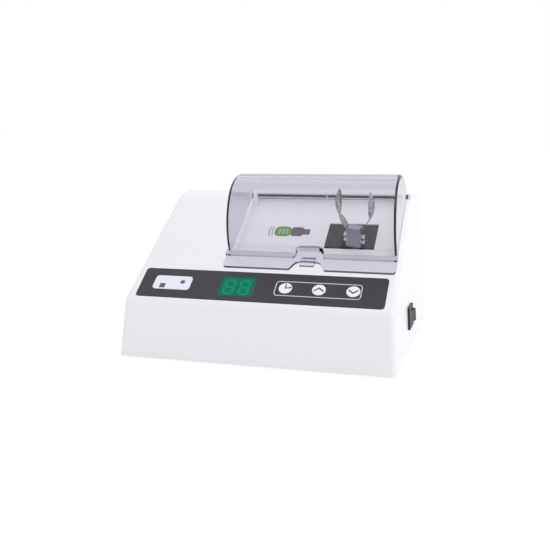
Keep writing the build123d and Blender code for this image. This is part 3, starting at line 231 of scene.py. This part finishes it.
def perforated(node, side):
    """Copy of a jaw with round holes through its cup, standing for the plain one."""
    cutter = bmesh.new()
    axis = CUP_FOOT + FORK_ACROSS * (side * CUP_HALF_GAP)
    for share, turns in HOLE_ROWS:
        for turn in turns:
            a = math.radians(turn)
            out = FORK_ACROSS * (side * math.cos(a)) + FORK_TOWARD * math.sin(a)
            rod = bmesh.ops.create_cone(cutter, cap_ends=True, segments=HOLE_SIDES, radius1=HOLE_RADIUS,
                                        radius2=HOLE_RADIUS, depth=HOLE_LENGTH)
            place = Matrix.Translation(axis + FORK_UP * (CUP_LENGTH * share) + out * HOLE_REACH)
            turned = out.to_track_quat("Z", "Y").to_matrix().to_4x4()
            bmesh.ops.transform(cutter, matrix=place @ turned, verts=rod["verts"])
    mesh = bpy.data.meshes.new(node + "_holes")
    cutter.to_mesh(mesh)
    cutter.free()
    tool = bpy.data.objects.new(node + "_holes", mesh)
    piece = bpy.data.objects.new(node + "_perforated", nodes[node].data.copy())
    for obj in (tool, piece):
        bpy.context.scene.collection.objects.link(obj)
    cut = piece.modifiers.new("holes", "BOOLEAN")
    cut.object = tool
    cut.operation = "DIFFERENCE"
    cut.solver = "EXACT"
    bpy.context.view_layer.update()
    done = bpy.data.meshes.new_from_object(piece.evaluated_get(bpy.context.evaluated_depsgraph_get()))
    piece.modifiers.clear()
    piece.data = done
    bpy.data.objects.remove(tool)
    done.materials.clear()
    done.materials.append(bright)
    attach(piece, "arm")
    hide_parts(node)


perforated("right_jaw", 1)
perforated("left_jaw", -1)

# ---------------------------------------------------------------- printed marks
# heights of the layers of ink over what they are printed on
INK = 0.00004
INK_2 = 0.00006
INK_3 = 0.00007
INK_4 = 0.00008


def flat(name, outline, matrix, finish, body, lift=INK, holes=()):
    """Thin printed patch: a closed outline in the plane's own metres, raised by lift."""
    mesh = bpy.data.meshes.new(name)
    bm = bmesh.new()
    loops = [[bm.verts.new((x, y, lift)) for x, y in ring] for ring in (outline, *holes)]
    if holes:
        edges = []
        for verts in loops:
            edges += [bm.edges.new((verts[i], verts[(i + 1) % len(verts)])) for i in range(len(verts))]
        bmesh.ops.triangle_fill(bm, edges=edges, use_beauty=True)
    else:
        bm.faces.new(loops[0])
    bmesh.ops.recalc_face_normals(bm, faces=bm.faces)
    for face in bm.faces:
        if face.normal.z < 0:
            face.normal_flip()
    bm.to_mesh(mesh)
    bm.free()
    mesh.transform(matrix)
    piece = bpy.data.objects.new(name, mesh)
    bpy.context.scene.collection.objects.link(piece)
    mesh.materials.append(finish)
    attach(piece, body)


def rounded(cx, cy, width, height, radius, steps=6):
    """Closed outline of a rectangle with round corners."""
    points = []
    for sx, sy, start in ((1, 1, 0), (-1, 1, 90), (-1, -1, 180), (1, -1, 270)):
        for i in range(steps + 1):
            a = math.radians(start + 90 * i / steps)
            points.append((
                cx + sx * (width / 2 - radius) + radius * math.cos(a),
                cy + sy * (height / 2 - radius) + radius * math.sin(a),
            ))
    return points


def disc(cx, cy, radius, steps=40):
    """Closed outline of a circle."""
    turns = [2 * math.pi * i / steps for i in range(steps)]
    return [(cx + radius * math.cos(a), cy + radius * math.sin(a)) for a in turns]


def stroke(points, width):
    """Outline of a bent line with flat ends, mitred at its corners."""
    left, right = [], []
    for i, (x, y) in enumerate(points):
        before = points[max(i - 1, 0)]
        after = points[min(i + 1, len(points) - 1)]
        d1 = Vector((x - before[0], y - before[1]))
        d2 = Vector((after[0] - x, after[1] - y))
        d1 = d1.normalized() if d1.length else d2.normalized()
        d2 = d2.normalized() if d2.length else d1.normalized()
        n = Vector((-(d1 + d2).y, (d1 + d2).x)).normalized()
        reach = width / 2 / max(n.dot(Vector((-d1.y, d1.x))), 0.3)
        left.append((x + n.x * reach, y + n.y * reach))
        right.append((x - n.x * reach, y - n.y * reach))
    return left + right[::-1]


def band(name, middle_at, size, line, radii, matrix, finish, body, steps):
    """Printed line along the inside of a rounded rectangle; radii are its outer and inner corners."""
    outer = rounded(*middle_at, *size, radii[0], steps)
    inner = rounded(*middle_at, size[0] - 2 * line, size[1] - 2 * line, radii[1], steps)
    flat(name, outer, matrix, finish, body, holes=[inner])


strip = on_deck(STRIP_TOP)
cap = on_deck(KEY_TOP)
bed = on_deck(-CHAMBER_DEPTH)

# white frame line round the three keys, and a narrow dark ring round each of them
KEYS_U = [middle(node) for node in ("set_key", "up_key", "down_key")]
RING_OUTER = 0.0073
RING_INNER = 0.0067
band("print_key_frame", (0.0582, 0.0240), (0.0832, 0.0186), 0.0007, (0.0036, 0.0029), strip, ink_white,
     "housing", 8)
for i, u in enumerate(KEYS_U):
    flat(f"print_key_gap_{i}", disc(u, STRIP_V, RING_OUTER), strip, film, "housing", lift=INK_3,
         holes=[disc(u, STRIP_V, RING_INNER)])

# clock with two hands, the short one with a tip, on the first round key
clock_u = KEYS_U[0]
HAND_UP = 0.0054
HAND_RIGHT = 0.0048
HAND_RISE = 0.0010
HAND_LINE = 0.0012
hands = [(clock_u, STRIP_V + HAND_UP), (clock_u, STRIP_V), (clock_u + HAND_RIGHT, STRIP_V + HAND_RISE)]
tip = [(clock_u + 0.0040, STRIP_V + 0.0028), (clock_u + 0.0040, STRIP_V - 0.0010),
       (clock_u + 0.0060, STRIP_V + 0.0013)]
flat("print_clock_hands", stroke(hands, HAND_LINE), cap, ink_dark, "set_button", lift=INK_2)
flat("print_clock_tip", tip, cap, ink_dark, "set_button", lift=INK_2)

# up and down signs on the other two
CHEVRON_HALF = 0.0046
CHEVRON_HEIGHT = 0.0040
CHEVRON_DROP = 0.0018
CHEVRON_LINE = 0.0015
for u, sign, body in ((KEYS_U[1], 1, "up_button"), (KEYS_U[2], -1, "down_button")):
    y = STRIP_V - sign * CHEVRON_DROP
    chevron = [(u - CHEVRON_HALF, y), (u, y + sign * CHEVRON_HEIGHT), (u + CHEVRON_HALF, y)]
    flat(f"print_chevron_{body}", stroke(chevron, CHEVRON_LINE), cap, ink_dark, body)

# stop key: a plain square sign, a round lamp mark and a rim line
STOP_U = middle("stop_key")
SQUARE_AT = (STOP_U - 0.0095, 0.0195)
SQUARE_SIDE = 0.0058
LAMP_AT = (STOP_U + 0.0105, 0.0252)
flat("print_stop_square", rounded(*SQUARE_AT, SQUARE_SIDE, SQUARE_SIDE, 0.0006, 3), cap, ink_grey,
     "stop_button")
flat("print_stop_halo", disc(*LAMP_AT, 0.0028), cap, ink_pale, "stop_button")
flat("print_stop_lamp", disc(*LAMP_AT, 0.0017), cap, ink_dark, "stop_button", lift=INK_2)
band("print_stop_rim", (STOP_U, STRIP_V), (0.0380, 0.0166), 0.0004, (0.0030, 0.0026), cap, ink_white,
     "stop_button", 6)

# two digits of seven bars in the display's window, and the window's dark rim
WINDOW_U = middle("display_window")
WINDOW_V = 0.0225
DIGIT_OFFSET = 0.0076
DIGIT_WIDTH = 0.0088
DIGIT_HEIGHT = 0.0172
BAR_LINE = 0.0020
BAR_GAP = BAR_LINE * 0.18
DIGIT_SLANT = 0.03


def digit(cx, cy):
    """The seven bars of one digit, as outlines."""
    bars = []
    cut = BAR_LINE / 2
    half = DIGIT_HEIGHT / 2
    w = DIGIT_WIDTH / 2 - BAR_GAP
    h = half / 2 - BAR_GAP
    for y in (cy + half, cy, cy - half):
        bars.append([(cx - w, y), (cx - w + cut, y + cut), (cx + w - cut, y + cut),
                     (cx + w, y), (cx + w - cut, y - cut), (cx - w + cut, y - cut)])
    for side in (-1, 1):
        for part in (-1, 1):
            x = cx + side * DIGIT_WIDTH / 2
            y = cy + part * half / 2
            bars.append([(x, y - h), (x + cut, y - h + cut), (x + cut, y + h - cut),
                         (x, y + h), (x - cut, y + h - cut), (x - cut, y - h + cut)])
    return [[(x + (y - cy) * DIGIT_SLANT, y) for x, y in bar] for bar in bars]


for i, u in enumerate((WINDOW_U - DIGIT_OFFSET, WINDOW_U + DIGIT_OFFSET)):
    for j, bar in enumerate(digit(u, WINDOW_V)):
        flat(f"display_bar_{i}_{j}", bar, strip, segment, "housing")
band("print_window_rim", (WINDOW_U, WINDOW_V), (0.0336, 0.0266), 0.0012, (0.0012, 0.0008), strip, ink_rim,
     "housing", 3)

# plain capsule mark on the chamber's floor: a body with three slots, a cap, a plug and two shaking arcs
MARK_U = 0.0037
MARK_V = 0.1108
SLOT_START = -0.0036
SLOT_STEP = 0.0038
ARC_START = -0.0020
ARC_HALF_TURN = 34
ARC_STEPS = 10
ARC_LINE = 0.0009
flat("print_capsule_body", rounded(MARK_U, MARK_V, 0.0181, 0.0146, 0.0056, 6), bed, ink_green, "housing")
for i in range(3):
    slot_u = MARK_U + SLOT_START + SLOT_STEP * i
    flat(f"print_capsule_slot_{i}", rounded(slot_u, MARK_V, 0.0013, 0.0084, 0.0006, 3), bed, ink_bed,
         "housing", lift=INK_3)
flat("print_capsule_cap", rounded(MARK_U + 0.0150, MARK_V, 0.0124, 0.0134, 0.0024, 4), bed, ink_grey,
     "housing", lift=INK_2)
flat("print_capsule_plug", rounded(MARK_U + 0.0244, MARK_V, 0.0080, 0.0082, 0.0012, 4), bed, ink_grey,
     "housing", lift=INK_4)
arc_turns = [math.radians(ARC_HALF_TURN * (2 * k / ARC_STEPS - 1)) for k in range(ARC_STEPS + 1)]
for i, reach in enumerate((0.0100, 0.0132)):
    arc = [(MARK_U + ARC_START - reach * math.cos(a), MARK_V + reach * math.sin(a)) for a in arc_turns]
    flat(f"print_capsule_arc_{i}", stroke(arc, ARC_LINE), bed, ink_grey, "housing")


# ---------------------------------------------------------------- floor and background
def show_to(tree, rays, lights, shows):
    """Shader that shows one thing to the named kinds of ray and lights the scene with another."""
    path = tree.nodes.new("ShaderNodeLightPath")
    share = path.outputs[rays[0]]
    for ray in rays[1:]:
        either = tree.nodes.new("ShaderNodeMath")
        either.operation = "MAXIMUM"
        tree.links.new(share, either.inputs[0])
        tree.links.new(path.outputs[ray], either.inputs[1])
        share = either.outputs[0]
    pick = tree.nodes.new("ShaderNodeMixShader")
    tree.links.new(share, pick.inputs[0])
    tree.links.new(lights.outputs[0], pick.inputs[1])
    tree.links.new(shows.outputs[0], pick.inputs[2])
    return pick.outputs[0]


bpy.ops.mesh.primitive_plane_add(size=30, location=(0, 0, 0))
floor = bpy.context.object
floor.name = "floor"
ground = bpy.data.materials.new("pale_floor")
ground.use_nodes = True
tree = ground.node_tree
matt = tree.nodes["Principled BSDF"]
matt.inputs["Base Color"].default_value = (0.80, 0.80, 0.81, 1)
matt.inputs["Roughness"].default_value = 0.9
glow = tree.nodes.new("ShaderNodeEmission")
glow.inputs["Color"].default_value = (1, 1, 1, 1)
glow.inputs["Strength"].default_value = 0.90
dull = tree.nodes.new("ShaderNodeBsdfDiffuse")
dull.inputs["Color"].default_value = (0.20, 0.20, 0.20, 1)
both = tree.nodes.new("ShaderNodeAddShader")
tree.links.new(dull.outputs[0], both.inputs[0])
tree.links.new(glow.outputs[0], both.inputs[1])
seen = show_to(tree, ("Is Camera Ray", "Is Transmission Ray", "Is Glossy Ray"), matt, both)
tree.links.new(seen, tree.nodes["Material Output"].inputs["Surface"])
floor.data.materials.append(ground)

world = bpy.data.worlds.new("studio")
bpy.context.scene.world = world
world.use_nodes = True
tree = world.node_tree
back = tree.nodes["Background"]
back.inputs["Color"].default_value = (1, 1, 1, 1)
back.inputs["Strength"].default_value = 0.88
clear = tree.nodes.new("ShaderNodeBackground")
clear.inputs["Color"].default_value = (1, 1, 1, 1)
clear.inputs["Strength"].default_value = 1.0
seen = show_to(tree, ("Is Camera Ray", "Is Transmission Ray"), back, clear)
tree.links.new(seen, tree.nodes["World Output"].inputs["Surface"])


# ---------------------------------------------------------------- lamps and camera
def lamp(name, place, aim, size, power):
    """Square area light at place, turned towards aim."""
    data = bpy.data.lights.new(name, "AREA")
    data.size = size
    data.energy = power
    obj = bpy.data.objects.new(name, data)
    obj.location = place
    obj.rotation_euler = (Vector(aim) - Vector(place)).to_track_quat("-Z", "Y").to_euler()
    bpy.context.scene.collection.objects.link(obj)


lamp("soft_right", (1.5, -0.2, 0.9), (0, 0, 0.08), 1.3, 7.5)
lamp("soft_top", (-0.2, 1.0, 1.6), (0, 0, 0.1), 1.4, 3.2)
lamp("soft_front", (-0.7, -1.6, 0.5), (0, 0, 0.08), 1.2, 2.0)

# the photograph's camera: its focal length in pixels, its place and its three directions
FOCAL_PIXELS = 748.169
IMAGE_PIXELS = 550
SENSOR_WIDTH = 36.0
LOOK_RIGHT = Vector((0.95711694, 0.28964459, -0.0057598))
LOOK_DOWN = Vector((0.04437076, -0.16621039, -0.98509154))
LOOK_AHEAD = Vector((-0.28628377, 0.94259223, -0.17193453))
camera_data = bpy.data.cameras.new("camera")
camera_data.sensor_width = SENSOR_WIDTH
camera_data.lens = FOCAL_PIXELS / IMAGE_PIXELS * SENSOR_WIDTH
camera = bpy.data.objects.new("camera", camera_data)
camera.location = spot(0.219128, -0.638487, 0.203981)
camera.rotation_mode = "QUATERNION"
camera.rotation_quaternion = Matrix((LOOK_RIGHT, -LOOK_DOWN, -LOOK_AHEAD)).transposed().to_quaternion()
bpy.context.scene.collection.objects.link(camera)
bpy.context.scene.camera = camera

bpy.context.scene.view_settings.view_transform = "Standard"
